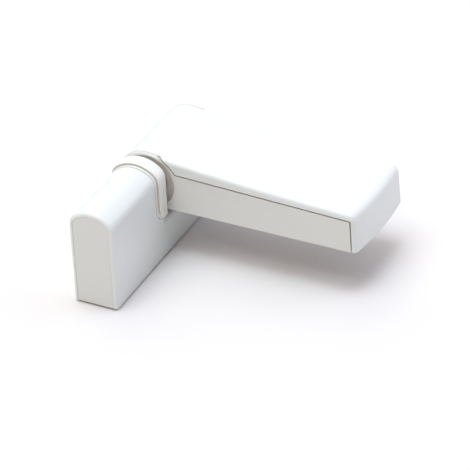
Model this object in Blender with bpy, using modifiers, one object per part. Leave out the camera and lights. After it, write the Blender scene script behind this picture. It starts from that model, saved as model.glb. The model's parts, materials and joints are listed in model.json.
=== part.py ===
"""Flag hinge for a rebated door or gate leaf, lying on its frame face.

Metres, +Z up.  The origin is on the face that screws to the door frame.
+X runs out along the flag, +Y along the pin from the frame block to the flag,
and +Z away from the door frame.
"""
from math import atan2, cos, pi, radians, sin, sqrt

import bmesh
import bpy
from mathutils import Matrix, Vector

MM = 0.001

# --- driving dimensions, in millimetres -------------------------------------------------
BODY_W = 20.0            # frame part, side to side
PIN_Z = 32.0             # height of the pin's axis
CROWN_R = 12.4           # arch of the frame block, round the pin's axis
CROWN_FILLET = 5.0       # between the crown and the upright sides
BLOCK_Y = (-46.0, -8.3)  # frame block, front to back
TAIL_Y = 46.0            # rear end of the frame part
TAIL_H = 16.6            # low tail under the flag
TAIL_CORNER = 3.0        # rounded top edges of the tail
END_CAP = 2.0            # thickness of the plates in the shell's ends
SHELL_FOOT_Z = 0.5       # the frame's shell stands just clear of the door frame
WEB_HALF = 5.0           # half the thickness of the web under the pin
WALL = 1.6               # plastic shells
GAP = 0.3                # between touching pieces
RUN = 0.1                # running clearance on a radius

BAR = (8.0, 43.6, 9.0)   # screw-down bar: half width, half length, thickness
KNUCKLE_Y = (-32.0, -2.2)    # metal block round the eccentric bush
BLOCK_SETBACK = 2.0      # metal block behind the shell's outer face
HOLE_R = 2.6             # holes for the fitter's screws
SINK_R = 5.0             # and their countersinks
SINK_DEPTH = 2.8
FRAME_HOLE_Y = (-38.0, 10.0, 38.0)

COLLAR_Y = (-8.0, -0.5)
COLLAR_PROUD = 1.15
COLLAR_FOOT_Z = 18.7
COLLAR_CORNERS = (6.6, 0.8)  # radius of its feet, front and rear
COLLAR_LIP = 1.4         # thickness of its rear lip

FLAG_Y = (2.2, 46.0)
OVERLAP = 20.0           # height of the sash face over the frame face
FLAG_FOOT_Z = OVERLAP + GAP
KNUCKLE_R = 13.2         # cover round the pin
FLAG_TOP = ((1.7, 45.1), (38.0, 40.3), (99.0, 37.9))   # start, pull and end of the top line
END_X = 98.3             # furthest reach of the bowed end, at its foot
END_SLANT = 1.2          # how much shorter the end is at the top
END_CORNER = 3.6         # rounded corner between the top and the end
END_BOW_R = 145.0        # the end's bow in plan
END_BOW_Y = 30.0
BOW_FROM_X = 62.0        # the bow fades out towards here
BOW_RINGS_Y = (10.0, 17.0, 24.0, 31.0, 38.0)
EDGE_R = 1.8             # rounded edges of the flag's shell
BLOCK_EDGE_R = 1.3       # rounded edge round the block's front end
COLLAR_EDGE_R = 0.6

SEAM_ARC = (-1.1, 28.3, 18.0)    # x, z and radius of the end caps' seam over the knuckle
SEAM = ((14.3, 38.1), (93.5, 35.4), (94.4, 18.0))
RECESS = (1.0, 32.0, 12.3)   # x, z and radius of the round recess in the front cap

PIN_R = 4.0
PIN_Y = (-27.0, 41.5)
SHOULDER_R = 6.0
SHOULDER_Y = (-0.1, 1.8)
THRUST_Y = (2.1, 3.9)    # ring between the frame part and the flag
ECCENTRICITY = 0.5
BUSH_R = 6.3             # eccentric bush
BUSH_Y = (-32.3, -2.5)
BUSH_HEAD_R = 7.4
BUSH_HEAD_Y = -34.4      # front of the bush's slotted head
SLEEVE_R = 4.9
SLEEVE_Y = (-31.0, -0.4)
SLEEVE_FLANGE = 1.5
SLEEVE_WALL_Y = -28.4    # back of the wall that holds the height screw
SCREW_R = 2.5            # M5 adjusting and clamping screws
SCREW_TIP = 0.5          # chamfer at their ends
HEAD_R = 4.2
HEAD_CHAMFER = 0.4
SOCKET_R = 2.0           # hexagon sockets
CLIP_R = 3.6
CLIP_THICK = 0.6
GRUB_R = 2.0
GRUB_Y = -22.0
GRUB_Z = (38.8, 41.9)

BARREL_R = 10.6          # metal knuckle of the flag
BARREL_Y = (5.6, 42.6)
BEARING_R = 6.0          # bearing bushes pressed into it
BEARING_FLANGE_R = 8.8
BEARING_FLANGE = 1.0
BEARING_LENGTH = 12.8

PLATE_X = (14.0, 82.0)       # sash plate
PLATE_Y = (7.0, 41.5)
PLATE_Z = (OVERLAP, 24.3)
NUT_X = (66.0, 72.0)         # block on it for the side adjusting screw
ARM_X = (7.0, 88.0)          # arm over it
ARM_Y = (6.0, 42.2)
ARM_Z = (24.6, 29.6)
RIB = 2.0
RIB_X = (8.0, 80.0)
RIB_Z = (27.0, 34.0)
LUG_X = (82.6, 88.2)         # end lug that holds the screw
LUG_HALF = 6.5
WINDOW_X = (61.5, 83.0)      # opening in the arm for the nut block
ROW_Y = (13.6, 34.6)         # two rows of screws in the flag
SASH_HOLE_X = (22.0, 52.5)
ACCESS_R = 5.2               # slots in the arm over the sash screws
CLAMP_X = 37.2
WASHER = 1.0
WASHER_R = 4.6
LATERAL = 3.0                # side adjustment, each way
LATERAL_Y = 24.5
LATERAL_Z = 29.0
LATERAL_X = (62.2, 91.6)     # side adjusting screw, tip to head

CLEAR = 5.0              # how far a cutter runs past what it cuts
TOP_Z = 50.0             # above the whole hinge
ROUND = 40               # sides of a large round piece
ROUND_SMALL = 24         # sides of a screw

COLOURS = {              # colour, roughness, metallic
    "white": ((0.86, 0.86, 0.84), 0.35, 0.0),
    "cap_white": ((0.80, 0.80, 0.78), 0.40, 0.0),
    "zinc": ((0.56, 0.57, 0.58), 0.45, 0.9),
    "steel": ((0.66, 0.66, 0.68), 0.28, 1.0),
    "bearing": ((0.62, 0.58, 0.52), 0.45, 0.0),
    "brass": ((0.72, 0.56, 0.28), 0.35, 1.0),
}

for old in list(bpy.data.objects):
    bpy.data.objects.remove(old, do_unlink=True)


def collection(name):
    made = bpy.data.collections.new(name)
    bpy.context.scene.collection.children.link(made)
    return made


PARTS = collection("flag_hinge")
CUTTERS = collection("cutters")


# --- helpers ------------------------------------------------------------------------------
def add_object(name, mesh, home):
    made = bpy.data.objects.new(name, mesh)
    home.objects.link(made)
    if home is CUTTERS:
        made.hide_render = True
        made.display_type = "WIRE"
    return made


def frozen(source, name, home, weld=1e-6):
    """A plain mesh object in the evaluated shape of source, which is removed."""
    bpy.context.view_layer.update()
    shape = source.evaluated_get(bpy.context.evaluated_depsgraph_get())
    mesh = bpy.data.meshes.new_from_object(shape)
    mesh.transform(source.matrix_world)
    work = bmesh.new()
    work.from_mesh(mesh)
    bmesh.ops.remove_doubles(work, verts=work.verts, dist=weld)
    work.to_mesh(mesh)
    work.free()
    bpy.data.objects.remove(source, do_unlink=True)
    return add_object(name, mesh, home)


def plate(name, outline, low, high, plane="XZ", home=None, edge=0.0):
    """A flat outline in millimetres, extruded from low to high, with its rims rounded by edge."""
    curve = bpy.data.curves.new(name, "CURVE")
    curve.dimensions = "2D"
    curve.fill_mode = "BOTH"
    curve.extrude = ((high - low) / 2 - edge) * MM
    curve.bevel_depth = edge * MM
    curve.bevel_resolution = 2 if edge else 0
    curve.offset = -edge * MM
    spline = curve.splines.new("POLY")
    spline.points.add(len(outline) - 1)
    for point, (x, y) in zip(spline.points, outline):
        point.co = (x * MM, y * MM, 0, 1)
    spline.use_cyclic_u = True
    made = bpy.data.objects.new(name, curve)
    CUTTERS.objects.link(made)
    middle = (low + high) / 2 * MM
    if plane == "XZ":
        made.rotation_euler = (pi / 2, 0, 0)
        made.location = (0, middle, 0)
    elif plane == "YZ":
        made.rotation_euler = (pi / 2, 0, pi / 2)
        made.location = (middle, 0, 0)
    else:
        made.location = (0, 0, middle)
    return frozen(made, name, home or CUTTERS)


def box(name, low, high, home=None):
    """A box between two corners, in millimetres."""
    work = bmesh.new()
    bmesh.ops.create_cube(work, size=1.0)
    size = Vector(high) - Vector(low)
    centre = (Vector(high) + Vector(low)) / 2
    place = Matrix.Translation(centre * MM) @ Matrix.Diagonal((*(size * MM), 1.0))
    bmesh.ops.transform(work, matrix=place, verts=work.verts)
    mesh = bpy.data.meshes.new(name)
    work.to_mesh(mesh)
    work.free()
    return add_object(name, mesh, home or CUTTERS)


def aim(made, axis, at):
    """Puts a turned piece's own Z axis along Y or X, at a point in millimetres."""
    if axis == "Y":
        made.rotation_euler = (-pi / 2, 0, 0)
    elif axis == "X":
        made.rotation_euler = (0, pi / 2, 0)
    made.location = Vector(at) * MM


def turned(name, profile, axis, at, sides=ROUND, home=None, closed=False):
    """A turned piece: (radius, height) points down its outer side, then back if closed."""
    mesh = bpy.data.meshes.new(name)
    points = [(r * MM, 0, z * MM) for r, z in profile]
    edges = [(i, i + 1) for i in range(len(points) - 1)]
    if closed:
        edges.append((len(points) - 1, 0))
    mesh.from_pydata(points, edges, [])
    made = add_object(name, mesh, home or CUTTERS)
    screw = made.modifiers.new("turn", "SCREW")
    screw.axis = "Z"
    screw.steps = sides
    screw.render_steps = sides
    screw.use_merge_vertices = True
    screw.merge_threshold = 1e-6
    aim(made, axis, at)
    return made


def rod(name, radius, low, high, axis="Y", at=(0, 0, PIN_Z), sides=ROUND, home=None):
    """A plain cylinder, or a cone where radius is a (low, high) pair."""
    r_low, r_high = radius if isinstance(radius, tuple) else (radius, radius)
    profile = [(0, high), (r_high, high), (r_low, low), (0, low)]
    return turned(name, profile, axis, at, sides, home)


def ring(name, inner, outer, low, high, axis="Y", at=(0, 0, PIN_Z), sides=ROUND, home=None):
    profile = [(outer, high), (outer, low), (inner, low), (inner, high)]
    return turned(name, profile, axis, at, sides, home, closed=True)


def boolean(target, tool, operation):
    step = target.modifiers.new(operation.lower(), "BOOLEAN")
    step.operation = operation
    step.solver = "EXACT"
    step.object = tool
    return target


def cut(target, *tools):
    for tool in tools:
        boolean(target, tool, "DIFFERENCE")
    return target


def join(target, *tools):
    for tool in tools:
        boolean(target, tool, "UNION")
    return target


def keep(target, *tools):
    for tool in tools:
        boolean(target, tool, "INTERSECT")
    return target


def countersunk(name, x, y, top, bottom):
    """Cutter for a countersunk screw hole, open above its top."""
    sink = top - SINK_DEPTH
    profile = [(0, top + CLEAR), (SINK_R, top + CLEAR), (SINK_R, top), (HOLE_R, sink)]
    profile += [(HOLE_R, bottom), (0, bottom)]
    return turned(name, profile, "Z", (x, y, 0), ROUND_SMALL)


def copy_of(source, name, home):
    return add_object(name, source.data.copy(), home)


def finish(made, colour, smooth=True):
    """Gives a sub-part its own material and its shading."""
    rgb, roughness, metallic = COLOURS[colour]
    material = bpy.data.materials.new(made.name)
    material.use_nodes = True
    shader = material.node_tree.nodes["Principled BSDF"]
    shader.inputs["Base Color"].default_value = (*rgb, 1)
    shader.inputs["Roughness"].default_value = roughness
    shader.inputs["Metallic"].default_value = metallic
    made.data.materials.clear()
    made.data.materials.append(material)
    if smooth:
        made.data.shade_smooth()
        if made.data.polygons:
            made.data.set_sharp_from_angle(angle=radians(35))
        for step in made.modifiers:
            if step.type == "SCREW":
                step.use_smooth_shade = True
    return made


def arc(cx, cz, radius, start, stop, steps):
    """Points on an arc, from start to stop in degrees."""
    turns = [radians(start + (stop - start) * i / steps) for i in range(steps + 1)]
    return [(cx + radius * cos(t), cz + radius * sin(t)) for t in turns]


# --- outlines -------------------------------------------------------------------------------
def arch(offset, foot=0.0):
    """The frame block's outline, moved out by offset: upright sides, fillets and a crown."""
    half = BODY_W / 2 + offset
    fillet_x = BODY_W / 2 - CROWN_FILLET
    fillet_z = PIN_Z + sqrt((CROWN_R - CROWN_FILLET) ** 2 - fillet_x ** 2)
    lean = atan2(fillet_z - PIN_Z, fillet_x) * 180 / pi
    right = arc(fillet_x, fillet_z, CROWN_FILLET + offset, 0, lean, 6)
    crown = arc(0, PIN_Z, CROWN_R + offset, lean, 180 - lean, 12)
    left = [(-x, z) for x, z in reversed(right)]
    return [(half, foot)] + right + crown[1:-1] + left + [(-half, foot)]


def tail_outline(offset, foot=0.0):
    """The low tail's outline: upright sides and rounded top edges."""
    half = BODY_W / 2 + offset
    top = TAIL_H + offset
    corner = TAIL_CORNER + offset
    right = arc(half - corner, top - corner, corner, 0, 90, 4)
    left = [(-x, z) for x, z in reversed(right)]
    return [(half, foot)] + right + left + [(-half, foot)]


def flag_top(inset, steps=12):
    """The flag's slightly hollow top line, from the knuckle to past the end."""
    (x0, z0), (x1, z1), (x2, z2) = FLAG_TOP
    points = []
    for i in range(steps + 1):
        t = i / steps
        a, b, c = (1 - t) ** 2, 2 * t * (1 - t), t * t
        points.append((a * x0 + b * x1 + c * x2, a * z0 + b * z1 + c * z2 - inset))
    return points


def flag_outline(inset, foot):
    """The flag seen along the pin: foot, slanting end, rounded corner, top line and knuckle."""
    corner = END_CORNER - inset
    end_x = END_X - inset
    lean = END_SLANT / (FLAG_TOP[2][1] - FLAG_FOOT_Z)
    corner_z = FLAG_TOP[2][1] - END_CORNER
    corner_x = end_x - lean * (corner_z - FLAG_FOOT_Z) - corner
    foot_x = end_x + lean * (FLAG_FOOT_Z - foot)
    outline = [(foot_x, foot)] + arc(corner_x, corner_z, corner, 0, 88, 6)
    outline += [(x, z) for x, z in flag_top(inset)[::-1] if x < corner_x - 2]
    radius = KNUCKLE_R - inset
    drop = min((PIN_Z - FLAG_FOOT_Z) / radius, 0.97)
    knuckle = arc(0, PIN_Z, radius, 82, 360 - atan2(drop, sqrt(1 - drop * drop)) * 180 / pi, 26)
    if foot < FLAG_FOOT_Z:
        knuckle.append((knuckle[-1][0] + 0.5, foot))
    return outline + knuckle[1:]


def bow_end(made):
    """Bows the flag's right end in plan, after giving its walls points to bend at."""
    work = bmesh.new()
    work.from_mesh(made.data)
    for y in BOW_RINGS_Y:
        geometry = work.verts[:] + work.edges[:] + work.faces[:]
        bmesh.ops.bisect_plane(work, geom=geometry, plane_co=(0, y * MM, 0), plane_no=(0, 1, 0), dist=1e-7)
    work.to_mesh(made.data)
    work.free()
    for vertex in made.data.vertices:
        x, y = vertex.co.x / MM, vertex.co.y / MM
        share = min(max((x - BOW_FROM_X) / (END_X - BOW_FROM_X), 0.0), 1.0) ** 2
        vertex.co.x -= share * (y - END_BOW_Y) ** 2 / (2 * END_BOW_R) * MM
    return made


def cap_region(name, inset, low, high):
    """What an end cap of the flag fills: a disc over the knuckle and a strip under the seam."""
    (x0, z0), (x1, z1), (x2, z2) = SEAM
    strip = [(0, 15.0), (x2 - inset, 15.0), (x1 - inset, z1 - inset), (x0, z0 - inset), (0, z0 - inset)]
    made = plate(name, strip, low, high)
    x, z, radius = SEAM_ARC
    disc = rod(name + "_disc", radius - inset, low, high, at=(x, 0, z), sides=64)
    return frozen(join(made, disc), name, CUTTERS)


def collar_foot(drop=0.0, steps=6):
    """The collar's rounded foot seen from the side, or a line drop millimetres outside it."""
    low, high = COLLAR_Y
    front, rear = COLLAR_CORNERS
    foot = arc(low + front, COLLAR_FOOT_Z + front, front + drop, 180, 270, steps)
    return foot + arc(high - rear, COLLAR_FOOT_Z + rear, rear + drop, 270, 360, steps // 2)


# --- frame part -------------------------------------------------------------------------------
def frame_bracket():
    """Die-cast bracket: a screw-down bar with an upright knuckle block for the pin."""
    half, end, top = BAR
    made = box("frame_bracket", (-half, -end, 0), (half, end, top), PARTS)
    head = arch(-BLOCK_SETBACK, PIN_Z - CROWN_FILLET)
    web_foot, web_top = top - CROWN_FILLET, PIN_Z - top
    web = [(-WEB_HALF, web_top), (-WEB_HALF, web_foot), (WEB_HALF, web_foot), (WEB_HALF, web_top)]
    join(made, plate("knuckle_block", head + web, *KNUCKLE_Y))
    cut(made, rod("bush_bore", BUSH_R + RUN, BLOCK_Y[0], CLEAR, at=(-ECCENTRICITY, 0, PIN_Z)))
    for i, y in enumerate(FRAME_HOLE_Y):
        cut(made, countersunk(f"frame_hole_{i}", 0, y, top, -1.0))
    grub = rod("grub_hole", GRUB_R + RUN, PIN_Z, TOP_Z, "Z", (-ECCENTRICITY, GRUB_Y, 0), ROUND_SMALL)
    cut(made, grub)
    return finish(made, "zinc")


def frame_cover():
    """White shell over the block and the tail, open below and at both ends."""
    front, rear = BLOCK_Y
    made = plate("frame_cover", arch(0, -CLEAR), front, rear, home=PARTS, edge=BLOCK_EDGE_R)
    cheek_rear = KNUCKLE_Y[1] - WALL / 8
    cheek_half = BODY_W / 2 - 0.02
    line = [(y, z) for y, z in collar_foot(GAP) if rear < y < cheek_rear]
    cheek = [(rear - CLEAR, line[0][1]), *line, (cheek_rear, line[-1][1])]
    cheek += [(cheek_rear, TAIL_H / 2), (rear - CLEAR, TAIL_H / 2)]
    join(
        made,
        plate("tail_outer", tail_outline(0, -CLEAR), front / 2, TAIL_Y),
        plate("cheeks", cheek, -cheek_half, cheek_half, plane="YZ"),
    )
    cut(
        made,
        plate("block_hollow", arch(-WALL, -2 * CLEAR), front - CLEAR, KNUCKLE_Y[1] + WALL / 4),
        plate("tail_hollow", tail_outline(-WALL, -2 * CLEAR), front / 2 - CLEAR, TAIL_Y + CLEAR),
        box("below_shell", (-BODY_W, -TOP_Z, -TOP_Z), (BODY_W, TOP_Z, SHELL_FOOT_Z)),
    )
    return finish(made, "white")


def frame_end_caps():
    """Plates that close the two ends of the shell, set flush inside its edge."""
    inset = -(WALL + GAP)
    foot = SHELL_FOOT_Z
    front = plate("frame_end_cap", arch(inset, foot), BLOCK_Y[0], BLOCK_Y[0] + END_CAP, home=PARTS)
    rear = plate("tail_end_cap", tail_outline(inset, foot), TAIL_Y - END_CAP, TAIL_Y, home=PARTS)
    finish(front, "cap_white")
    finish(rear, "cap_white")


def collar():
    """U-shaped ring over the block's rear edge, with a rear lip round the pin."""
    made = plate("collar", arch(COLLAR_PROUD), *COLLAR_Y, home=PARTS, edge=COLLAR_EDGE_R)
    low, high = COLLAR_Y
    side = [(high, TOP_Z), (low, TOP_Z)] + collar_foot()
    keep(made, plate("collar_side", side, -BODY_W, BODY_W, plane="YZ"))
    inside = plate("collar_inside", arch(-WALL), low - 1, high - COLLAR_LIP)
    opening = rod("collar_opening", BUSH_R + WALL, low / 2, CLEAR, at=(-ECCENTRICITY, 0, PIN_Z))
    cut(made, inside, opening)
    return finish(made, "white")


def bush_grub_screw():
    """Set screw that locks the eccentric bush."""
    low, high = GRUB_Z
    at = (-ECCENTRICITY, GRUB_Y, 0)
    made = rod("bush_grub_screw", GRUB_R, low, high, "Z", at, ROUND_SMALL, PARTS)
    cut(made, rod("grub_socket", GRUB_R / 2, high - GRUB_R, TOP_Z, "Z", at, 6))
    return finish(made, "steel")


# --- adjusters round the pin ---------------------------------------------------------------------
def eccentric_bush():
    """Bush whose bore is off its own axis: turning it presses the door on its seal."""
    axis = (-ECCENTRICITY, 0, PIN_Z)
    front, rear = BUSH_Y
    outer = [(0, rear), (BUSH_R, rear), (BUSH_R, front), (BUSH_HEAD_R, front)]
    outer += [(BUSH_HEAD_R, BUSH_HEAD_Y), (0, BUSH_HEAD_Y)]
    made = turned("eccentric_bush", outer, "Y", axis, ROUND, PARTS)
    cut(made, rod("eccentric_bore", SLEEVE_R + RUN, BLOCK_Y[0], CLEAR))
    slot = box("eccentric_slot", (-BODY_W, BLOCK_Y[0], PIN_Z - 1), (BODY_W, front - 1, PIN_Z + 1))
    cut(made, slot)
    return finish(made, "brass")


def pin_sleeve():
    """Flanged sleeve that the pin slides in."""
    inner = PIN_R + RUN
    screw_hole = SCREW_R + RUN
    flange = BUSH_R + 0.9
    front, rear = SLEEVE_Y
    flange_front = rear - SLEEVE_FLANGE
    profile = [(flange, rear), (flange, flange_front), (SLEEVE_R, flange_front), (SLEEVE_R, front)]
    profile += [(screw_hole, front), (screw_hole, SLEEVE_WALL_Y), (inner, SLEEVE_WALL_Y), (inner, rear)]
    made = turned("pin_sleeve", profile, "Y", (0, 0, PIN_Z), ROUND, PARTS, closed=True)
    return finish(made, "bearing")


def height_screw():
    """Captive screw in the sleeve's front wall: turning it lifts the pin."""
    tip = PIN_Y[0] + 13.0
    under_head = SLEEVE_Y[0] - GAP
    face = under_head - 2.8
    profile = [(0, tip), (SCREW_R - SCREW_TIP, tip), (SCREW_R, tip - SCREW_TIP), (SCREW_R, under_head)]
    profile += [(HEAD_R, under_head), (HEAD_R, face + HEAD_CHAMFER), (HEAD_R - HEAD_CHAMFER, face), (0, face)]
    made = turned("height_screw", profile, "Y", (0, 0, PIN_Z), ROUND_SMALL, PARTS)
    cut(made, rod("height_socket", SOCKET_R, BLOCK_Y[0], face + 1.9, sides=6))
    finish(made, "steel")
    clip_y = SLEEVE_WALL_Y + GAP
    clip_span = (SCREW_R + RUN, CLIP_R, clip_y, clip_y + CLIP_THICK)
    finish(ring("height_screw_clip", *clip_span, sides=ROUND_SMALL, home=PARTS), "steel")


def hinge_pin():
    """Shouldered pin with a tapped hole for the height screw."""
    low, high = PIN_Y
    front, rear = SHOULDER_Y
    profile = [(0, high), (PIN_R - 0.6, high), (PIN_R, high - 0.8), (PIN_R, rear), (SHOULDER_R, rear)]
    profile += [(SHOULDER_R, front), (PIN_R, front), (PIN_R, low + 0.4), (PIN_R - 0.4, low), (0, low)]
    made = turned("hinge_pin", profile, "Y", (0, 0, PIN_Z), ROUND, PARTS)
    cut(made, rod("pin_tapping", SCREW_R + RUN, low - CLEAR, low + 15.0, sides=ROUND_SMALL))
    finish(made, "steel")
    thrust = ring("thrust_ring", PIN_R + RUN, BEARING_FLANGE_R, *THRUST_Y, home=PARTS)
    finish(thrust, "bearing")


# --- flag ------------------------------------------------------------------------------------------
def slot_cutter(name, x, y, radius):
    """A slot along X that leaves room for the side adjustment."""
    outline = arc(x + LATERAL, y, radius, -90, 90, 10) + arc(x - LATERAL, y, radius, 90, 270, 10)
    return plate(name, outline, OVERLAP, TOP_Z, plane="XY")


def flag_arm():
    """Die-cast arm: a knuckle on the pin and a ribbed plate over the sash plate."""
    made = rod("flag_arm", BARREL_R, *BARREL_Y, home=PARTS)
    (left, right), (low, high), (bottom, top) = ARM_X, ARM_Y, ARM_Z
    join(made, box("arm_plate", (left, low, bottom), (right, high, top)))
    for i, y in enumerate((low, high - RIB)):
        nudge = 0.1 * i
        rib_low = (RIB_X[0] + nudge, y, RIB_Z[0] + nudge)
        rib_high = (RIB_X[1] + nudge, y + RIB, RIB_Z[1] + nudge)
        join(made, box(f"arm_rib_{i}", rib_low, rib_high))
    lug_low = (LUG_X[0], LATERAL_Y - LUG_HALF, bottom + 1)
    join(made, box("arm_lug", lug_low, (LUG_X[1], LATERAL_Y + LUG_HALF, LATERAL_Z + CLEAR)))
    cut(made, rod("arm_bore", BEARING_R + 2 * RUN, -CLEAR, TOP_Z, sides=48))
    for i, y in enumerate(ROW_Y):
        cut(made, slot_cutter(f"clamp_slot_{i}", CLAMP_X, y, SCREW_R + 2 * RUN))
        for j, x in enumerate(SASH_HOLE_X):
            cut(made, slot_cutter(f"access_slot_{i}{j}", x, y, ACCESS_R))
    window_half = LUG_HALF + 0.5
    window_low = (WINDOW_X[0], LATERAL_Y - window_half, OVERLAP)
    window = box("arm_window", window_low, (WINDOW_X[1], LATERAL_Y + window_half, TOP_Z))
    bore_x = (LUG_X[0] - 1.6, LUG_X[1] + CLEAR)
    bore = rod("lateral_bore", SCREW_R + RUN, *bore_x, "X", (0, LATERAL_Y, LATERAL_Z), ROUND_SMALL)
    cut(made, window, bore)
    return finish(made, "zinc")


def knuckle_bushes():
    """Flanged bearing bushes in the two ends of the flag's knuckle."""
    inner = PIN_R + RUN
    front, rear = BARREL_Y[0] - GAP, BARREL_Y[1] + GAP
    for name, face, out in (("front_bush", front, -1), ("rear_bush", rear, 1)):
        outside, inside = face + out * BEARING_FLANGE, face - out * BEARING_LENGTH
        profile = [(BEARING_R, inside), (BEARING_R, face), (BEARING_FLANGE_R, face)]
        profile += [(BEARING_FLANGE_R, outside), (inner, outside), (inner, inside)]
        if out > 0:
            profile.reverse()
        made = turned(name, profile, "Y", (0, 0, PIN_Z), ROUND, PARTS, closed=True)
        finish(made, "bearing")


def flag_shells():
    """White shell over the arm, and the caps that close its front and rear."""
    low, high = FLAG_Y
    form = bow_end(plate("flag_form", flag_outline(0, FLAG_FOOT_Z - 4), low, high, edge=EDGE_R))
    cut(form, box("below_flag", (-2.0, low - CLEAR, 0.0), (END_X + CLEAR, high + CLEAR, FLAG_FOOT_Z)))
    form = frozen(form, "flag_form", CUTTERS)
    cover = copy_of(form, "flag_cover", PARTS)
    hollow = bow_end(plate("flag_hollow", flag_outline(WALL, OVERLAP / 2), low + WALL, high - WALL))
    cut(hollow, rod("knuckle_end", KNUCKLE_R, low, BARREL_Y[0] - GAP))
    seat = WALL + 0.2
    cut(
        cover,
        frozen(hollow, "flag_hollow", CUTTERS),
        cap_region("front_cap_space", 0, low - CLEAR, low + seat),
        cap_region("rear_cap_space", 0, high - seat, high + CLEAR),
        rod("thrust_hole", BEARING_FLANGE_R + GAP, low - CLEAR, BARREL_Y[0] + CLEAR),
    )
    finish(cover, "white")

    front = copy_of(form, "flag_front_cap", PARTS)
    keep(front, cap_region("front_cap_form", GAP, low - 1, low + WALL))
    x, z, radius = RECESS
    cut(front, rod("recess", radius, low - CLEAR, low + CLEAR, at=(x, 0, z), sides=64))
    finish(front, "cap_white")

    rear = copy_of(form, "flag_rear_cap", PARTS)
    keep(rear, cap_region("rear_cap_form", GAP, high - WALL, high + 1))
    finish(rear, "cap_white")


# --- sash plate --------------------------------------------------------------------------------------
def sash_plate():
    """Plate that screws to the door leaf, with a nut block for the side adjustment."""
    (left, right), (front, rear), (low, high) = PLATE_X, PLATE_Y, PLATE_Z
    made = box("sash_plate", (left, front, low), (right, rear, high), PARTS)
    nut_low = (NUT_X[0], LATERAL_Y - CLEAR, low + 1)
    join(made, box("nut_block", nut_low, (NUT_X[1], LATERAL_Y + CLEAR, LATERAL_Z + 4.5)))
    for i, y in enumerate(ROW_Y):
        tapping = rod(f"clamp_tapping_{i}", SCREW_R + RUN, 0, TOP_Z, "Z", (CLAMP_X, y, 0), ROUND_SMALL)
        cut(made, tapping)
        for j, x in enumerate(SASH_HOLE_X):
            cut(made, countersunk(f"sash_hole_{i}{j}", x, y, high, 0))
    nut_x = (NUT_X[0] - CLEAR, NUT_X[1] + CLEAR)
    cut(made, rod("nut_tapping", SCREW_R + RUN, *nut_x, "X", (0, LATERAL_Y, LATERAL_Z), ROUND_SMALL))
    return finish(made, "steel")


def clamp_screws():
    """Screws and washers that clamp the arm to the sash plate."""
    washer_z = ARM_Z[1] + GAP
    head = washer_z + WASHER + GAP
    face, tip = head + 3.0, OVERLAP + 0.6
    for name, y in zip(("front", "rear"), ROW_Y):
        at = (CLAMP_X, y, 0)
        inner = SCREW_R + 2 * RUN
        washer = ring(
            f"clamp_washer_{name}", inner, WASHER_R, washer_z, washer_z + WASHER, "Z", at, ROUND_SMALL, PARTS
        )
        finish(washer, "steel")
        profile = [(0, face), (HEAD_R - 0.8, face), (HEAD_R, face - 0.8), (HEAD_R, head)]
        profile += [(SCREW_R, head), (SCREW_R, tip + SCREW_TIP), (SCREW_R - SCREW_TIP, tip), (0, tip)]
        made = turned(f"clamp_screw_{name}", profile, "Z", at, ROUND_SMALL, PARTS)
        cut(made, rod(f"clamp_socket_{name}", SOCKET_R, head + 1.2, TOP_Z, "Z", at, 6))
        finish(made, "steel")


def lateral_screw():
    """Captive screw in the arm's end lug that shifts the sash plate sideways."""
    at = (0, LATERAL_Y, LATERAL_Z)
    tip, face = LATERAL_X
    under_head = LUG_X[1] + GAP
    profile = [(0, face), (HEAD_R - HEAD_CHAMFER, face), (HEAD_R, face - HEAD_CHAMFER), (HEAD_R, under_head)]
    profile += [(SCREW_R, under_head), (SCREW_R, tip + SCREW_TIP), (SCREW_R - SCREW_TIP, tip), (0, tip)]
    made = turned("lateral_screw", profile, "X", at, ROUND_SMALL, PARTS)
    cut(made, rod("lateral_socket", SOCKET_R, face - 1.8, face + CLEAR, "X", at, 6))
    finish(made, "steel")
    clip_x = WINDOW_X[1] - 0.9
    clip_span = (SCREW_R + RUN, CLIP_R, clip_x, clip_x + CLIP_THICK)
    finish(ring("lateral_screw_clip", *clip_span, "X", at, ROUND_SMALL, PARTS), "steel")


frame_bracket()
frame_cover()
frame_end_caps()
collar()
bush_grub_screw()
eccentric_bush()
pin_sleeve()
height_screw()
hinge_pin()
flag_arm()
knuckle_bushes()
flag_shells()
sash_plate()
clamp_screws()
lateral_screw()
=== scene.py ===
import json
from math import asin, atan2, cos, degrees, pi, radians, sin, sqrt

import bmesh
import bpy
from mathutils import Matrix, Vector


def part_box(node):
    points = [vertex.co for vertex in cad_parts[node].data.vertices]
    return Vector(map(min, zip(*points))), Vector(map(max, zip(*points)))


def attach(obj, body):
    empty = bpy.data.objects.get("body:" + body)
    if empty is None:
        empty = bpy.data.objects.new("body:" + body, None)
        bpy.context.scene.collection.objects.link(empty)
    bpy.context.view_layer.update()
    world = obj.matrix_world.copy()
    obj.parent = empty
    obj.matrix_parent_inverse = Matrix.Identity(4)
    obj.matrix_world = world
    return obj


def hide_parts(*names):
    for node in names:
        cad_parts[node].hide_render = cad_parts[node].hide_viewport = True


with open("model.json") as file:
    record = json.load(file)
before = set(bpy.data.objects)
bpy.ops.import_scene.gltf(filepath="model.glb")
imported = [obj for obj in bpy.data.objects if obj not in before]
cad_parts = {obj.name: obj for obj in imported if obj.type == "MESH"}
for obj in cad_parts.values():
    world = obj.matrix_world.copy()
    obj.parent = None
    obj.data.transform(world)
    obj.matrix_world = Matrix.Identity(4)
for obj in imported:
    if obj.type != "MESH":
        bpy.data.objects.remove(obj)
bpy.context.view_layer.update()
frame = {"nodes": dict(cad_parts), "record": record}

MM = 0.001
WELD = 1e-6              # metres between points that become one
FLAT_TURN = 0.5          # degrees between faces that count as one flat face

# --- the shells' shape, in millimetres, as the CAD has it -----------------------------------------
WALL = 1.6
GAP = 0.3                # between the frame's separate pieces
CLEAR = 5.0              # how far a cutter runs past what it cuts
FAR_X = 20.0             # half-width, half-length and top of cutters that span the frame part
FAR_Y = 60.0
FAR_Z = 60.0

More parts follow.
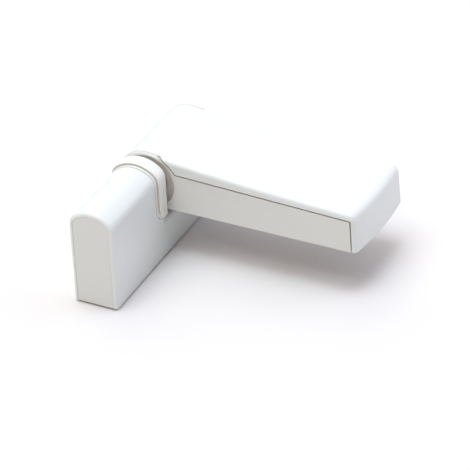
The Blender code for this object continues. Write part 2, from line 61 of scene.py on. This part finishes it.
PIN_Z = 32.0
BODY_HALF = 10.0         # the block and its arched top
CROWN_R = 12.4
CROWN_FILLET = 5.0
CROWN_STEPS = 28
FILLET_STEPS = 14
BLOCK_EDGE_R = 1.3
BLOCK_SEAM = 0.05        # visible gap round the block's end plates
END_PLATE = (2.0, 0.3)   # their thickness and rim radius
KNUCKLE_BLOCK_END = -2.2
HOLLOW_RUN = 0.4         # the block's hollow ends this far behind the knuckle block
CHEEK_INSET = 0.02       # keeps the cheeks from sharing a plane with the block's sides
CHEEK_SETBACK = 0.2
TAIL_H = 16.6            # the tail
TAIL_CORNER = 3.0
TAIL_STEPS = 10
SHELL_FOOT_Z = 0.05
UNDER_Z = -3.0           # foot of shapes that are cut off at SHELL_FOOT_Z, and of their cutters
UNDER_CUT_Z = -5.0

COLLAR_PROUD = 1.15
COLLAR_EDGE_R = 0.4
COLLAR_FOOT_Z = 18.7
COLLAR_CORNERS = (6.6, 0.8)      # radius of the foot's front and rear corners
COLLAR_STEPS = 20
COLLAR_LIP = 1.4
COLLAR_OPENING = (-0.5, 7.9)     # X of its centre, and its radius
COLLAR_RIM = (0.75, 0.20)        # the low front rim's width, and how far it stands out
COLLAR_RIM_EDGE_R = 0.15
COLLAR_LINE = (0.55, 0.05)       # the line of painted shade behind it: its width, and what stays under it
COLLAR_CORE_SETBACK = 0.5        # the rim's blank ends this far before the band's rear
BAND_OVERLAP = 0.02
LEG_GROOVE = (4.60, 0.20, 0.12, 35.0)    # how far back, width, depth and top of the leg's fine line, a groove in painted shade

KNUCKLE_R = 13.2         # the flag, from the knuckle to its slanting end
KNUCKLE_START = 82       # degrees at which the knuckle's arc takes over from the top line
KNUCKLE_STEPS = 64
KNUCKLE_LOW = 0.97       # lowest point of that arc, as a share of its radius
THRUST_HOLE_R = 9.1
RECESS = (1.0, 32.0, 12.3)
FLAG_TOP = ((1.7, 45.1), (38.0, 40.3), (99.0, 37.9))
FLAG_FOOT_Z = 20.3
FLAG_UNDER_Z = 16.3      # foot of the flag's blank, which is cut off at FLAG_FOOT_Z
HOLLOW_FOOT_Z = 10.0
FLAG_EDGE_R = 1.8
END_X = 98.3
END_SLANT = 1.2
END_CORNER = 3.6
END_CORNER_STOP = 88     # degrees at which the top line takes over from the end's corner
END_BOW_R = 145.0
END_BOW_Y = 30.0
BOW_FROM_X = 62.0
BOW_RIM = 3.0            # no extra points within this of the flag's front and rear
FLAG_SEAM = 0.55         # visible gap round the flag's end caps
CAP_SEAT = 0.2           # hidden gap behind an end cap
CAP_STEPS = 72
SEAM_ARC = (-1.1, 28.3, 18.0)
SEAM = ((14.3, 38.1), (93.5, 35.4), (94.4, 18.0))
SEAM_DROP = 8.0          # how far a cap's region goes on under the seam's end

CORNER_MM = {"zinc_casting": 0.35, "bright_steel": 0.2}      # broken corners, by slot
FINE_CORNER_MM = 0.12                                        # and on every other slot

# --- camera, floor and light ----------------------------------------------------------------------
CAMERA_TURN, CAMERA_HEIGHT, CAMERA_ROLL = 27.3, 34.1, 2.5    # degrees
CAMERA_DISTANCE = 1.096                                      # metres
CAMERA_AIM = (44.1, -4.2, 20.0)                              # millimetres
CAMERA_LENS, CAMERA_SENSOR = 203.5, 36.0
CAMERA_CLIP = (0.05, 20.0)
FLOOR_SIZE = 30.0
FLOOR_Z = -0.0009        # metres, a little low, so that a dark line shows under the shell
SKY_STRENGTH = 0.10
SOFTBOXES = (            # turn from +X, height and spread in degrees, red, green and blue strength
    ("overhead", 0, 90, 30, (0.85, 0.95, 1.05)),
    ("front_left_high", 225, 70, 40, (1.15, 1.20, 1.20)),
    ("back_right", 45, 40, 60, (0.90, 0.90, 1.05)),
    ("back_left", 135, 40, 60, (0.95, 0.85, 0.75)),
    ("front", 270, 40, 60, (0.55, 0.45, 0.38)),
    ("left_low", 180, 12, 60, (0.05, 0.10, 0.15)),
)


def span(node):
    """A node's lowest and highest Y, in millimetres."""
    low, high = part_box(node)
    return low[1] / MM, high[1] / MM


BLOCK_Y = (span("frame_cover")[0], span("collar")[0] - GAP)
TAIL_Y = span("frame_cover")[1]
COLLAR_Y = span("collar")
FLAG_Y = span("flag_cover")
KNUCKLE_END = span("flag_arm")[0] - GAP


# --- mesh helpers ---------------------------------------------------------------------------------
def arc(cx, cz, radius, start, stop, steps):
    """Points on an arc, from start to stop in degrees."""
    turns = [radians(start + (stop - start) * i / steps) for i in range(steps + 1)]
    return [(cx + radius * cos(t), cz + radius * sin(t)) for t in turns]


def link(name, data):
    """A new object in the scene."""
    made = bpy.data.objects.new(name, data)
    bpy.context.scene.collection.objects.link(made)
    return made


def settled(source, tools=()):
    """Turns an object into a plain mesh of its evaluated shape, and removes its tools."""
    bpy.context.view_layer.update()
    shown = source.evaluated_get(bpy.context.evaluated_depsgraph_get())
    mesh = bpy.data.meshes.new_from_object(shown)
    mesh.transform(source.matrix_world)
    name = source.name
    for old in (source, *tools):
        bpy.data.objects.remove(old, do_unlink=True)
    work = bmesh.new()
    work.from_mesh(mesh)
    bmesh.ops.remove_doubles(work, verts=work.verts, dist=WELD)
    work.to_mesh(mesh)
    work.free()
    made = link(name, mesh)
    made.name = name
    return made


def plate(name, outline, low, high, plane="XZ", edge=0.0, rounds=5):
    """An outline in the XZ or YZ plane, extruded from low to high, its rims rounded by edge."""
    curve = bpy.data.curves.new(name, "CURVE")
    curve.dimensions = "2D"
    curve.fill_mode = "BOTH"
    curve.extrude = ((high - low) / 2 - edge) * MM
    curve.bevel_depth = edge * MM
    curve.bevel_resolution = rounds if edge else 0
    curve.offset = -edge * MM
    spline = curve.splines.new("POLY")
    spline.points.add(len(outline) - 1)
    for point, (x, y) in zip(spline.points, outline):
        point.co = (x * MM, y * MM, 0, 1)
    spline.use_cyclic_u = True
    made = link(name, curve)
    middle = (low + high) / 2 * MM
    if plane == "XZ":
        made.rotation_euler = (pi / 2, 0, 0)
        made.location = (0, middle, 0)
    else:
        made.rotation_euler = (pi / 2, 0, pi / 2)
        made.location = (middle, 0, 0)
    return settled(made)


def box(name, low, high):
    """A box between two corners, in millimetres."""
    work = bmesh.new()
    bmesh.ops.create_cube(work, size=1.0)
    size, centre = Vector(high) - Vector(low), (Vector(high) + Vector(low)) / 2
    place = Matrix.Translation(centre * MM) @ Matrix.Diagonal((*(size * MM), 1.0))
    bmesh.ops.transform(work, matrix=place, verts=work.verts)
    mesh = bpy.data.meshes.new(name)
    work.to_mesh(mesh)
    work.free()
    return link(name, mesh)


def disc(name, cx, cz, radius, low, high, sides=128):
    """A round plug along Y."""
    return plate(name, arc(cx, cz, radius, 0, 360 * (1 - 1 / sides), sides - 1), low, high)


def carve(target, operation, *tools):
    """Booleans the tools into the target, one after another. A tool with painted seam shade leaves
    painted shade on the faces it cuts.
    """
    for tool in tools:
        step = target.modifiers.new(operation.lower(), "BOOLEAN")
        step.operation = operation
        step.solver = "EXACT"
        step.material_mode = "TRANSFER"
        step.object = tool
    return settled(target, tools)


def seam_shaded(tool, ends=True):
    """A cutter for a seam, whose cut faces get painted shade; its flat ends can get the lighter
    painted shade of the inside instead.
    """
    if not ends:
        tool.data.materials.append(MATERIALS["inside"])
    tool.data.materials.append(MATERIALS["painted_seam_shade"])
    for face in tool.data.polygons:
        face.material_index = int(not ends and abs(face.normal.y) < 0.5)
    return tool


def plain_blank(made):
    """A blank that can take cuts with painted seam shade: its own faces keep the first slot."""
    made.data.materials.append(MATERIALS["white_shell"])
    return made


def smooth(made):
    """Smooth shading with sharp corners kept, and normals that favour the large faces."""
    made.data.shade_smooth()
    made.data.set_sharp_from_angle(angle=radians(32))
    weigh = made.modifiers.new("normals", "WEIGHTED_NORMAL")
    weigh.keep_sharp = True
    weigh.weight = 90
    return made


def soften(made, width):
    """Rounds a piece's corners, as casting and turning leave them."""
    step = made.modifiers.new("corners", "BEVEL")
    step.width = width * MM
    step.segments = 2
    step.limit_method = "ANGLE"
    step.angle_limit = radians(30)
    step.harden_normals = False
    return made


# --- materials ------------------------------------------------------------------------------------
class Shader:
    """A Principled material and short ways to wire its nodes."""

    def __init__(self, name, colour, roughness, metallic=0.0, **sockets):
        self.material = bpy.data.materials.new(name)
        self.material.use_nodes = True
        self.nodes = self.material.node_tree.nodes
        self.links = self.material.node_tree.links
        self.principled = self.nodes["Principled BSDF"]
        self.colour = colour
        self.roughness = roughness
        self.principled.inputs["Base Color"].default_value = (*colour, 1)
        self.principled.inputs["Roughness"].default_value = roughness
        self.principled.inputs["Metallic"].default_value = metallic
        for socket, value in sockets.items():
            self.principled.inputs[socket.replace("_", " ")].default_value = value
        self.where = self.nodes.new("ShaderNodeTexCoord").outputs["Object"]
        self.height = None

    def noise(self, size_mm, detail=3.0, rough=0.5, stretch=(1, 1, 1)):
        """Noise whose features are about size_mm across, stretched along the axes."""
        place = self.nodes.new("ShaderNodeMapping")
        place.inputs["Scale"].default_value = [1 / (size_mm * MM * s) for s in stretch]
        noise = self.nodes.new("ShaderNodeTexNoise")
        noise.inputs["Scale"].default_value = 1.0
        noise.inputs["Detail"].default_value = detail
        noise.inputs["Roughness"].default_value = rough
        self.links.new(self.where, place.inputs["Vector"])
        self.links.new(place.outputs["Vector"], noise.inputs["Vector"])
        return noise.outputs["Fac"]

    def mapped(self, source, low, high, from_low=0.3, from_high=0.7):
        """Source stretched from one range to another."""
        ramp = self.nodes.new("ShaderNodeMapRange")
        ramp.inputs["From Min"].default_value = from_low
        ramp.inputs["From Max"].default_value = from_high
        ramp.inputs["To Min"].default_value = low
        ramp.inputs["To Max"].default_value = high
        self.links.new(source, ramp.inputs["Value"])
        return ramp.outputs["Result"]

    def tint(self, source, other, from_low=0.3, from_high=0.7):
        """Mixes the base colour towards another where source is high."""
        mix = self.nodes.new("ShaderNodeMix")
        mix.data_type = "RGBA"
        self.links.new(self.mapped(source, 0.0, 1.0, from_low, from_high), mix.inputs["Factor"])
        before = self.principled.inputs["Base Color"]
        if before.is_linked:
            self.links.new(before.links[0].from_socket, mix.inputs["A"])
        else:
            mix.inputs["A"].default_value = (*self.colour, 1)
        mix.inputs["B"].default_value = (*other, 1)
        self.links.new(mix.outputs["Result"], before)

    def vary_roughness(self, source, spread):
        """Makes the surface duller and glossier by spread where source changes."""
        spot = self.mapped(source, self.roughness - spread, self.roughness + spread)
        self.links.new(spot, self.principled.inputs["Roughness"])

    def bump(self, source, depth_mm):
        """Adds relief of about depth_mm under the relief that is already there."""
        node = self.nodes.new("ShaderNodeBump")
        node.inputs["Strength"].default_value = 1.0
        node.inputs["Distance"].default_value = depth_mm * MM
        self.links.new(source, node.inputs["Height"])
        if self.height is not None:
            self.links.new(self.height, node.inputs["Normal"])
        self.height = node.outputs["Normal"]
        self.links.new(self.height, self.principled.inputs["Normal"])


def moulded_white(name, colour, grain=0.010):
    """White moulded plastic: spark-eroded grain, faint flow clouding and a few fine rubs."""
    shader = Shader(name, colour, 0.38, Specular_IOR_Level=0.5)
    warm = tuple(c * k for c, k in zip(colour, (0.985, 0.975, 0.955)))
    cool = tuple(min(c * k, 1.0) for c, k in zip(colour, (0.990, 0.998, 1.004)))
    shader.tint(shader.noise(34, 2.0, 0.5, (1.6, 1, 1)), warm, 0.45, 0.85)
    shader.tint(shader.noise(13, 3.0, 0.6), cool, 0.45, 0.8)
    shader.vary_roughness(shader.noise(6, 4.0, 0.6), 0.06)
    shader.bump(shader.noise(0.22, 2.0, 0.6), grain)
    rubs = shader.noise(0.9, 1.0, 0.4, (14, 0.35, 1))
    shader.bump(shader.mapped(rubs, 0.0, 1.0, 0.70, 0.80), 0.004)
    shader.bump(shader.noise(20, 1.0, 0.4), 0.05)
    return shader.material


def cast_zinc():
    """Die-cast zinc: dull grey, fine grain and cloudy flow marks."""
    shader = Shader("cast_zinc", (0.50, 0.51, 0.52), 0.48, 0.85)
    shader.tint(shader.noise(7, 5.0, 0.65), (0.36, 0.37, 0.385), 0.42, 0.7)
    shader.tint(shader.noise(1.1, 3.0, 0.6), (0.60, 0.61, 0.61), 0.52, 0.75)
    shader.vary_roughness(shader.noise(4, 4.0, 0.6), 0.12)
    shader.bump(shader.noise(0.35, 4.0, 0.7), 0.03)
    shader.bump(shader.noise(3.5, 2.0, 0.5), 0.05)
    return shader.material


def ground_steel():
    """Plated steel plate and pin: fine grinding lines along the piece."""
    shader = Shader("ground_steel", (0.62, 0.63, 0.65), 0.30, 1.0)
    lines = shader.noise(0.12, 3.0, 0.6, (60, 1, 1))
    shader.tint(shader.noise(9, 3.0, 0.5), (0.54, 0.55, 0.56), 0.45, 0.75)
    shader.vary_roughness(lines, 0.09)
    shader.bump(lines, 0.006)
    return shader.material


def plated_steel():
    """Bright zinc-plated screws: a blue-yellow cast and small pits."""
    shader = Shader("plated_steel", (0.60, 0.62, 0.66), 0.27, 1.0)
    shader.tint(shader.noise(2.5, 2.0, 0.5), (0.66, 0.62, 0.52), 0.48, 0.8)
    shader.vary_roughness(shader.noise(0.8, 3.0, 0.6), 0.08)
    shader.bump(shader.noise(0.3, 3.0, 0.6), 0.008)
    return shader.material


def bearing_natural():
    """Natural bearing plastic, yellowed and greasy in places."""
    shader = Shader("bearing_natural", (0.62, 0.58, 0.52), 0.42)
    shader.tint(shader.noise(3.0, 3.0, 0.6), (0.50, 0.45, 0.37), 0.45, 0.75)
    shader.vary_roughness(shader.noise(1.5, 3.0, 0.6), 0.10)
    shader.bump(shader.noise(0.25, 2.0, 0.5), 0.008)
    return shader.material


def turned_brass():
    """Turned brass bush: tool lines round it and light tarnish."""
    shader = Shader("turned_brass", (0.70, 0.52, 0.25), 0.32, 1.0)
    shader.tint(shader.noise(5, 3.0, 0.6), (0.48, 0.34, 0.17), 0.48, 0.8)
    lines = shader.noise(0.15, 2.0, 0.5, (20, 1, 20))
    shader.vary_roughness(lines, 0.08)
    shader.bump(lines, 0.006)
    return shader.material


MATERIALS = {
    "white_shell": moulded_white("moulded_white_shell", (0.835, 0.865, 0.86)),
    # darker and warmer than the shell: painted shade of the forward-facing end faces, which are the
    # same white plastic
    "white_cap": moulded_white("white_cap_painted_shade", (0.78, 0.79, 0.765), grain=0.012),
    "zinc_casting": cast_zinc(),
    "bright_steel": ground_steel(),
    "steel_screws": plated_steel(),
    "bearing_plastic": bearing_natural(),
    "brass_bush": turned_brass(),
    # lighter and warmer than the shell: painted light on the collar, which is the same white plastic
    "collar_painted_light": moulded_white("moulded_warm_collar", (0.90, 0.91, 0.885)),
    # painted shade for seams, grooves and the collar's dark line: a darker, brownish copy of the white
    # plastic
    "painted_seam_shade": moulded_white("painted_seam_shade", (0.62, 0.575, 0.50)),
    # painted shade for the flat inner faces that seam cutters leave, such as the seat seen through the
    # recess
    "inside": moulded_white("painted_shade_inside", (0.75, 0.71, 0.65)),
}


def dress(made, slot, body, node, finish=None):
    """Gives a piece its material, hangs it on the body it rides on and hides the CAD part it stands in
    for.
    """
    if not made.data.materials:
        made.data.materials.append(None)
    made.data.materials[0] = MATERIALS[finish or slot]
    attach(made, body)
    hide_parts(node)


# --- outlines of the shells -----------------------------------------------------------------------
def arch(offset, foot=0.0):
    """The frame block's outline, moved out by offset: upright sides, fillets and a crown."""
    half = BODY_HALF + offset
    fillet_x = BODY_HALF - CROWN_FILLET
    fillet_z = PIN_Z + sqrt((CROWN_R - CROWN_FILLET) ** 2 - fillet_x ** 2)
    lean = atan2(fillet_z - PIN_Z, fillet_x) * 180 / pi
    right = arc(fillet_x, fillet_z, CROWN_FILLET + offset, 0, lean, FILLET_STEPS)
    crown = arc(0, PIN_Z, CROWN_R + offset, lean, 180 - lean, CROWN_STEPS)
    left = [(-x, z) for x, z in reversed(right)]
    return [(half, foot)] + right + crown[1:-1] + left + [(-half, foot)]


def tail_outline(offset, foot=0.0):
    """The tail's outline, moved out by offset: a low box with rounded top corners."""
    half = BODY_HALF + offset
    corner = TAIL_CORNER + offset
    right = arc(half - corner, TAIL_H + offset - corner, corner, 0, 90, TAIL_STEPS)
    left = [(-x, z) for x, z in reversed(right)]
    return [(half, foot)] + right + left + [(-half, foot)]


def flag_top(inset, steps=40):
    """The flag's top line from the knuckle to the end: a shallow curve through three controls."""
    (x0, z0), (x1, z1), (x2, z2) = FLAG_TOP
    points = []
    for i in range(steps + 1):
        t = i / steps
        a, b, c = (1 - t) ** 2, 2 * t * (1 - t), t * t
        points.append((a * x0 + b * x1 + c * x2, a * z0 + b * z1 + c * z2 - inset))
    return points


def flag_outline(inset, foot):
    """The flag seen along the pin: foot, slanting end, rounded corner, top line and knuckle."""
    corner = END_CORNER - inset
    end_x = END_X - inset
    lean = END_SLANT / (FLAG_TOP[2][1] - FLAG_FOOT_Z)
    corner_z = FLAG_TOP[2][1] - END_CORNER
    corner_x = end_x - lean * (corner_z - FLAG_FOOT_Z) - corner
    foot_x = end_x + lean * (FLAG_FOOT_Z - foot)
    outline = [(foot_x, foot)]
    outline += arc(corner_x, corner_z, corner, 0, END_CORNER_STOP, FILLET_STEPS)
    outline += [(x, z) for x, z in flag_top(inset)[::-1] if x < corner_x - 1]
    radius = KNUCKLE_R - inset
    drop = min((PIN_Z - FLAG_FOOT_Z) / radius, KNUCKLE_LOW)
    knuckle_stop = 360 - atan2(drop, sqrt(1 - drop * drop)) * 180 / pi
    knuckle = arc(0, PIN_Z, radius, KNUCKLE_START, knuckle_stop, KNUCKLE_STEPS)
    if foot < FLAG_FOOT_Z:
        knuckle.append((knuckle[-1][0] + 0.5, foot))
    return outline + knuckle[1:]


def bow_end(made, rings=24):
    """Bows the flag's right end in plan, after giving its walls points to bend at."""
    low, high = FLAG_Y[0] + BOW_RIM, FLAG_Y[1] - BOW_RIM
    work = bmesh.new()
    work.from_mesh(made.data)
    for i in range(rings):
        y = low + (high - low) * i / (rings - 1)
        geometry = work.verts[:] + work.edges[:] + work.faces[:]
        bmesh.ops.bisect_plane(
            work, geom=geometry, plane_co=(0, y * MM, 0), plane_no=(0, 1, 0), dist=WELD / 10)
    work.to_mesh(made.data)
    work.free()
    for vertex in made.data.vertices:
        x, y = vertex.co.x / MM, vertex.co.y / MM
        share = min(max((x - BOW_FROM_X) / (END_X - BOW_FROM_X), 0.0), 1.0) ** 2
        vertex.co.x -= share * (y - END_BOW_Y) ** 2 / (2 * END_BOW_R) * MM
    return made


def cap_region(name, inset, low, high):
    """What an end cap of the flag fills: a disc over the knuckle and a strip under the seam."""
    (x0, z0), (x1, z1), (x2, z2) = SEAM
    x, z, radius = SEAM_ARC
    start = degrees(asin((z0 - inset - z) / (radius - inset)))
    strip = [(x, z2 - SEAM_DROP), (x2 - inset, z2 - SEAM_DROP), (x1 - inset, z1 - inset)]
    return plate(name, strip + arc(x, z, radius - inset, start, 270, CAP_STEPS), low, high)


def collar_foot(drop=0.0):
    """The collar's rounded foot seen from the side, or a line drop millimetres outside it."""
    low, high = COLLAR_Y
    front, rear = COLLAR_CORNERS
    foot = arc(low + front, COLLAR_FOOT_Z + front, front + drop, 180, 270, COLLAR_STEPS)
    return foot + arc(high - rear, COLLAR_FOOT_Z + rear, rear + drop, 270, 360, COLLAR_STEPS // 2)


# --- shells ---------------------------------------------------------------------------------------
def make_frame_shell():
    """Block and tail in one shell, square behind the block, with cheeks under the collar."""
    front, rear = BLOCK_Y
    within = front / 2       # the tail's shapes start within the block
    shell = plate("frame_shell", arch(0, UNDER_Z), front, rear + CLEAR, edge=BLOCK_EDGE_R)
    behind = box("behind", (-FAR_X, rear, -2 * CLEAR), (FAR_X, rear + 2 * CLEAR, FAR_Z))
    shell = carve(shell, "DIFFERENCE", behind)
    cheek_rear = KNUCKLE_BLOCK_END - CHEEK_SETBACK
    cheek_half = BODY_HALF - CHEEK_INSET
    line = [(y, z) for y, z in collar_foot(GAP) if rear < y < cheek_rear]
    cheek = [(rear - CLEAR, line[0][1]), *line, (cheek_rear, line[-1][1])]
    cheek += [(cheek_rear, TAIL_H / 2), (rear - CLEAR, TAIL_H / 2)]
    shell = carve(
        shell, "UNION",
        plate("tail_outer", tail_outline(0, UNDER_Z), within, TAIL_Y),
        plate("cheeks", cheek, -cheek_half, cheek_half, plane="YZ"),
    )
    shell = carve(
        shell, "DIFFERENCE",
        plate("block_hollow", arch(-WALL, UNDER_CUT_Z), front - CLEAR, KNUCKLE_BLOCK_END + HOLLOW_RUN),
        plate("tail_hollow", tail_outline(-WALL, UNDER_CUT_Z), within - CLEAR, TAIL_Y + CLEAR),
        box("below_shell", (-FAR_X, -FAR_Y, -2 * CLEAR), (FAR_X, FAR_Y, SHELL_FOOT_Z)),
    )
    dress(smooth(shell), "white_shell", "frame", "frame_cover")


def make_end_plates():
    """The inset plates in the block's front and the tail's rear."""
    inset = -(WALL + BLOCK_SEAM)
    depth, edge = END_PLATE
    ends = (
        ("frame_end_plate", "frame_end_cap", arch(inset, SHELL_FOOT_Z), BLOCK_Y[0]),
        ("tail_end_plate", "tail_end_cap", tail_outline(inset, SHELL_FOOT_Z), TAIL_Y - depth),
    )
    for name, node, outline, low in ends:
        made = plate(name, outline, low, low + depth, edge=edge, rounds=3)
        dress(smooth(made), "white_cap", "frame", node)


def collar_side(name, inset=0.0):
    """The collar seen from the side, its front and foot moved in by inset."""
    low, high = COLLAR_Y
    foot = collar_foot()
    if inset:
        front = COLLAR_CORNERS[0]
        foot = arc(low + front, COLLAR_FOOT_Z + front, front - inset, 180, 270, COLLAR_STEPS)
        foot.append((high + 1, COLLAR_FOOT_Z + inset))
    top = [(foot[-1][0], FAR_Z), (low + inset, FAR_Z)]
    return plate(name, top + foot, -FAR_X, FAR_X, plane="YZ")


def make_collar():
    """A low rim, a shallow trench in painted shade behind it, and a broad band behind that, all
    following the foot.
    """
    low, high = COLLAR_Y
    rim, rim_proud = COLLAR_RIM
    line, line_proud = COLLAR_LINE
    rear = high - COLLAR_CORE_SETBACK
    ring = plate("collar_ring", arch(rim_proud), low, rear, edge=COLLAR_RIM_EDGE_R, rounds=3)
    ring = carve(plain_blank(ring), "INTERSECT", collar_side("side"))
    trench = plate("trench", arch(COLLAR_PROUD + 2, -2.0), low - 1, high + 0.5)
    core = plate("core", arch(line_proud, -4.0), low - 2, high + 2)
    trench = carve(trench, "DIFFERENCE", core)
    trench = carve(trench, "INTERSECT", collar_side("behind_rim", rim))
    ring = carve(ring, "DIFFERENCE", seam_shaded(trench))
    band = plate("band", arch(COLLAR_PROUD), low + rim + line, high, edge=COLLAR_EDGE_R, rounds=4)
    band = carve(plain_blank(band), "INTERSECT", collar_side("band_side", rim + line - BAND_OVERLAP))
    # the band's forward-facing front face gets painted seam shade
    band.data.materials.append(MATERIALS["painted_seam_shade"])
    for face in band.data.polygons:
        face.material_index = int(face.normal.y < -0.9)
    ring = carve(ring, "UNION", band)
    opening_x, opening_r = COLLAR_OPENING
    ring = carve(
        ring, "DIFFERENCE",
        plate("inside", arch(-WALL), low - 1, high - COLLAR_LIP),
        disc("opening", opening_x, PIN_Z, opening_r, low / 2, CLEAR),
    )
    start, width, depth, top = LEG_GROOVE
    for side in (-1, 1):
        face = side * (BODY_HALF + COLLAR_PROUD)
        x0, x1 = sorted((face - side * depth, face + side))
        # each leg's fine groove gets painted seam shade
        groove = box("groove", (x0, low + start, 0.0), (x1, low + start + width, top))
        ring = carve(ring, "DIFFERENCE", seam_shaded(groove))
    dress(smooth(ring), "white_shell", "frame", "collar", finish="collar_painted_light")


def make_flag_shells():
    """The flag's cover, hollow and open below, and its two end caps cut from the same form."""
    low, high = FLAG_Y
    form = plate("flag_form", flag_outline(0, FLAG_UNDER_Z), low, high, edge=FLAG_EDGE_R, rounds=7)
    below = box("below_flag", (-2.0, low - CLEAR, 0.0), (END_X + CLEAR, high + CLEAR, FLAG_FOOT_Z))
    form = carve(bow_end(form), "DIFFERENCE", below)
    hollow = bow_end(plate("flag_hollow", flag_outline(WALL, HOLLOW_FOOT_Z), low + WALL, high - WALL))
    hollow = carve(hollow, "DIFFERENCE", disc("knuckle_end", 0, PIN_Z, KNUCKLE_R, low, KNUCKLE_END))
    front = link("flag_front_plate", form.data.copy())
    rear = link("flag_rear_plate", form.data.copy())
    form.name = "flag_shell"
    seat = WALL + CAP_SEAT
    # the seams round both end caps get painted seam shade, and the seats behind them the lighter
    # painted shade of the inside
    shell = carve(
        plain_blank(form), "DIFFERENCE", hollow,
        seam_shaded(cap_region("front_space", 0, low - CLEAR, low + seat), ends=False),
        seam_shaded(cap_region("rear_space", 0, high - seat, high + CLEAR), ends=False),
        disc("thrust_hole", 0, PIN_Z, THRUST_HOLE_R, low - CLEAR, KNUCKLE_END + CLEAR),
    )
    # each cap's rim gets painted seam shade as well
    front_region = cap_region("front_region", FLAG_SEAM, low - 1, low + WALL)
    front = carve(plain_blank(front), "INTERSECT", seam_shaded(front_region))
    front = carve(front, "DIFFERENCE", disc("recess", *RECESS, low - CLEAR, low + CLEAR))
    rear_region = cap_region("rear_region", FLAG_SEAM, high - WALL, high + 1)
    rear = carve(plain_blank(rear), "INTERSECT", seam_shaded(rear_region))
    dress(smooth(shell), "white_shell", "flag", "flag_cover")
    dress(smooth(front), "white_cap", "flag", "flag_front_cap")
    dress(smooth(rear), "white_cap", "flag", "flag_rear_cap")


def refine_metalwork():
    """Castings, plate, pin, bushes and screws: the CAD shape with its corners broken."""
    slots = {part["node"]: part["material_slot"] for part in frame["record"]["subparts"]}
    bodies = frame["record"]["behaviour"]["bodies"]
    riding = {name: body for body, names in bodies.items() for name in names}
    for name, node in frame["nodes"].items():
        if node.hide_render:
            continue
        work = bmesh.new()
        work.from_mesh(node.data)
        bmesh.ops.remove_doubles(work, verts=work.verts, dist=WELD)
        bmesh.ops.dissolve_limit(
            work, angle_limit=radians(FLAT_TURN), verts=work.verts, edges=work.edges)
        mesh = bpy.data.meshes.new(name + "_fine")
        work.to_mesh(mesh)
        work.free()
        corner = CORNER_MM.get(slots[name], FINE_CORNER_MM)
        made = settled(soften(link(name + "_fine", mesh), corner))
        dress(smooth(made), slots[name], riding[name], name)


# --- stage ----------------------------------------------------------------------------------------
def make_camera():
    """A long lens in front of the block, to its right and above it, rolled a little."""
    turn, height, roll = radians(CAMERA_TURN), radians(CAMERA_HEIGHT), radians(CAMERA_ROLL)
    right = Vector((cos(turn), sin(turn), 0))
    ahead = Vector((-sin(turn) * cos(height), cos(turn) * cos(height), -sin(height)))
    up = right.cross(ahead)
    x_axis = cos(roll) * right - sin(roll) * up
    y_axis = sin(roll) * right + cos(roll) * up
    data = bpy.data.cameras.new("camera")
    data.lens = CAMERA_LENS
    data.sensor_width = CAMERA_SENSOR
    data.clip_start, data.clip_end = CAMERA_CLIP
    camera = link("camera", data)
    place = Matrix.Translation(Vector(CAMERA_AIM) * MM - ahead * CAMERA_DISTANCE)
    camera.matrix_world = place @ Matrix((x_axis, y_axis, -ahead)).transposed().to_4x4()
    bpy.context.scene.camera = camera


def make_floor():
    bpy.ops.mesh.primitive_plane_add(size=FLOOR_SIZE, location=(0, 0, FLOOR_Z))
    floor = bpy.context.object
    floor.name = "floor"
    shader = Shader("floor_white", (0.86, 0.84, 0.835), 0.7, Specular_IOR_Level=0.2)
    floor.data.materials.append(shader.material)


def make_lights():
    scene = bpy.context.scene
    scene.view_settings.view_transform = "Standard"
    world = scene.world or bpy.data.worlds.new("world")
    scene.world = world
    world.use_nodes = True
    sky = world.node_tree.nodes["Background"]
    sky.inputs["Color"].default_value = (1.0, 1.0, 1.0, 1)
    sky.inputs["Strength"].default_value = SKY_STRENGTH
    for name, turn, height, spread, strength in SOFTBOXES:
        lamp = bpy.data.lights.new(name, "SUN")
        lamp.energy = max(strength)
        lamp.color = [s / max(strength) for s in strength]
        lamp.angle = radians(spread)
        a, e = radians(turn), radians(height)
        source = Vector((cos(e) * cos(a), cos(e) * sin(a), sin(e)))
        link(name, lamp).rotation_euler = source.to_track_quat("Z", "Y").to_euler()


make_frame_shell()
make_end_plates()
make_collar()
make_flag_shells()
refine_metalwork()
make_camera()
make_floor()
make_lights()
